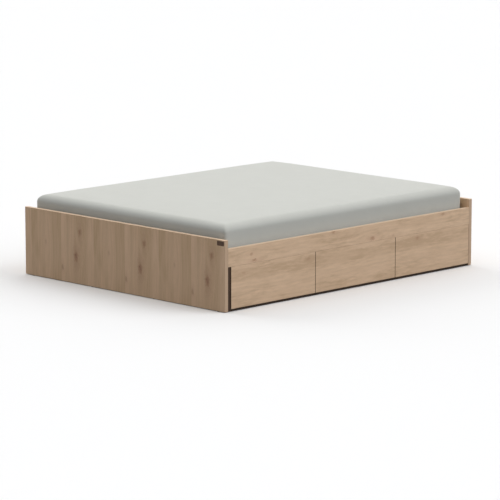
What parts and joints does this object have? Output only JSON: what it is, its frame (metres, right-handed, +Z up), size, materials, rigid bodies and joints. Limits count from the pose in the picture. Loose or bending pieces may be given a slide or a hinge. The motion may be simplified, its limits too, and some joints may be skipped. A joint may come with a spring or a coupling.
{
  "type": "storage bed",
  "caption": "Low panel bed frame with handle-less drawers under one long side, a slatted base and a fitted mattress.",
  "frame": {"origin": "on the floor under the middle of the bed", "axes": "+Y from the foot end to the head end, +X towards the drawer side, +Z up"},
  "size_m": [1.65, 2.05, 0.4758],
  "materials": {
    "oak_upright": "satin",
    "oak_lengthwise": "satin",
    "dark_brown_board": "matte",
    "carcass_board": "satin",
    "drawer_board": "satin",
    "slat_wood": "matte",
    "zinc_steel": "satin",
    "screw_steel": "satin",
    "leg_paint": "satin",
    "glide_plastic": "matte",
    "webbing": "matte",
    "badge_brown": "satin",
    "mattress_cover": "matte"
  },
  "bodies": {
    "frame": {"angle_screws": "screw_steel", "badge_plate": "badge_brown", "base_rail": "dark_brown_board", "bay_back": "carcass_board", "beam_hangers": "zinc_steel", "bracket_screws": "screw_steel", "carcass_screws": "screw_steel", "centre_beam": "slat_wood", "centre_legs": "leg_paint", "corner_brackets": "zinc_steel", "divider_1": "carcass_board", "divider_2": "carcass_board", "drawer_1_runner_outer": "zinc_steel", "drawer_2_runner_outer": "zinc_steel", "drawer_3_runner_outer": "zinc_steel", "floor_glides": "glide_plastic", "foot_cheek": "dark_brown_board", "foot_panel": "oak_upright", "head_panel": "oak_upright", "leg_feet": "glide_plastic", "mattress": "mattress_cover", "runner_screws": "screw_steel", "side_panel": "oak_lengthwise", "side_rail": "oak_lengthwise", "slat_angle_left": "zinc_steel", "slat_angle_right": "zinc_steel", "slat_tapes": "webbing", "slats_left": "slat_wood", "slats_right": "slat_wood"},
    "drawer_1": {"drawer_1_back": "drawer_board", "drawer_1_bottom": "drawer_board", "drawer_1_cam_locks": "screw_steel", "drawer_1_front": "oak_lengthwise", "drawer_1_runner_inner": "zinc_steel", "drawer_1_screws": "screw_steel", "drawer_1_side_left": "drawer_board", "drawer_1_side_right": "drawer_board"},
    "runner_1": {"drawer_1_runner_middle": "zinc_steel"},
    "drawer_2": {"drawer_2_back": "drawer_board", "drawer_2_bottom": "drawer_board", "drawer_2_cam_locks": "screw_steel", "drawer_2_front": "oak_lengthwise", "drawer_2_runner_inner": "zinc_steel", "drawer_2_screws": "screw_steel", "drawer_2_side_left": "drawer_board", "drawer_2_side_right": "drawer_board"},
    "runner_2": {"drawer_2_runner_middle": "zinc_steel"},
    "drawer_3": {"drawer_3_back": "drawer_board", "drawer_3_bottom": "drawer_board", "drawer_3_cam_locks": "screw_steel", "drawer_3_front": "oak_lengthwise", "drawer_3_runner_inner": "zinc_steel", "drawer_3_screws": "screw_steel", "drawer_3_side_left": "drawer_board", "drawer_3_side_right": "drawer_board"},
    "runner_3": {"drawer_3_runner_middle": "zinc_steel"}
  },
  "joints": [
    {"name": "drawer_1_slide", "type": "slide", "parent": "frame", "child": "drawer_1", "axis": [1, 0, 0], "range_m": [0, 0.6]},
    {"name": "runner_1_slide", "type": "slide", "parent": "frame", "child": "runner_1", "axis": [1, 0, 0], "range_m": [0, 0.3]},
    {"name": "drawer_2_slide", "type": "slide", "parent": "frame", "child": "drawer_2", "axis": [1, 0, 0], "range_m": [0, 0.6]},
    {"name": "runner_2_slide", "type": "slide", "parent": "frame", "child": "runner_2", "axis": [1, 0, 0], "range_m": [0, 0.3]},
    {"name": "drawer_3_slide", "type": "slide", "parent": "frame", "child": "drawer_3", "axis": [1, 0, 0], "range_m": [0, 0.6]},
    {"name": "runner_3_slide", "type": "slide", "parent": "frame", "child": "runner_3", "axis": [1, 0, 0], "range_m": [0, 0.3]}
  ],
  "couplings": [
    {"joint": "runner_1_slide", "follows": "drawer_1_slide", "ratio": 0.5},
    {"joint": "runner_2_slide", "follows": "drawer_2_slide", "ratio": 0.5},
    {"joint": "runner_3_slide", "follows": "drawer_3_slide", "ratio": 0.5}
  ]
}
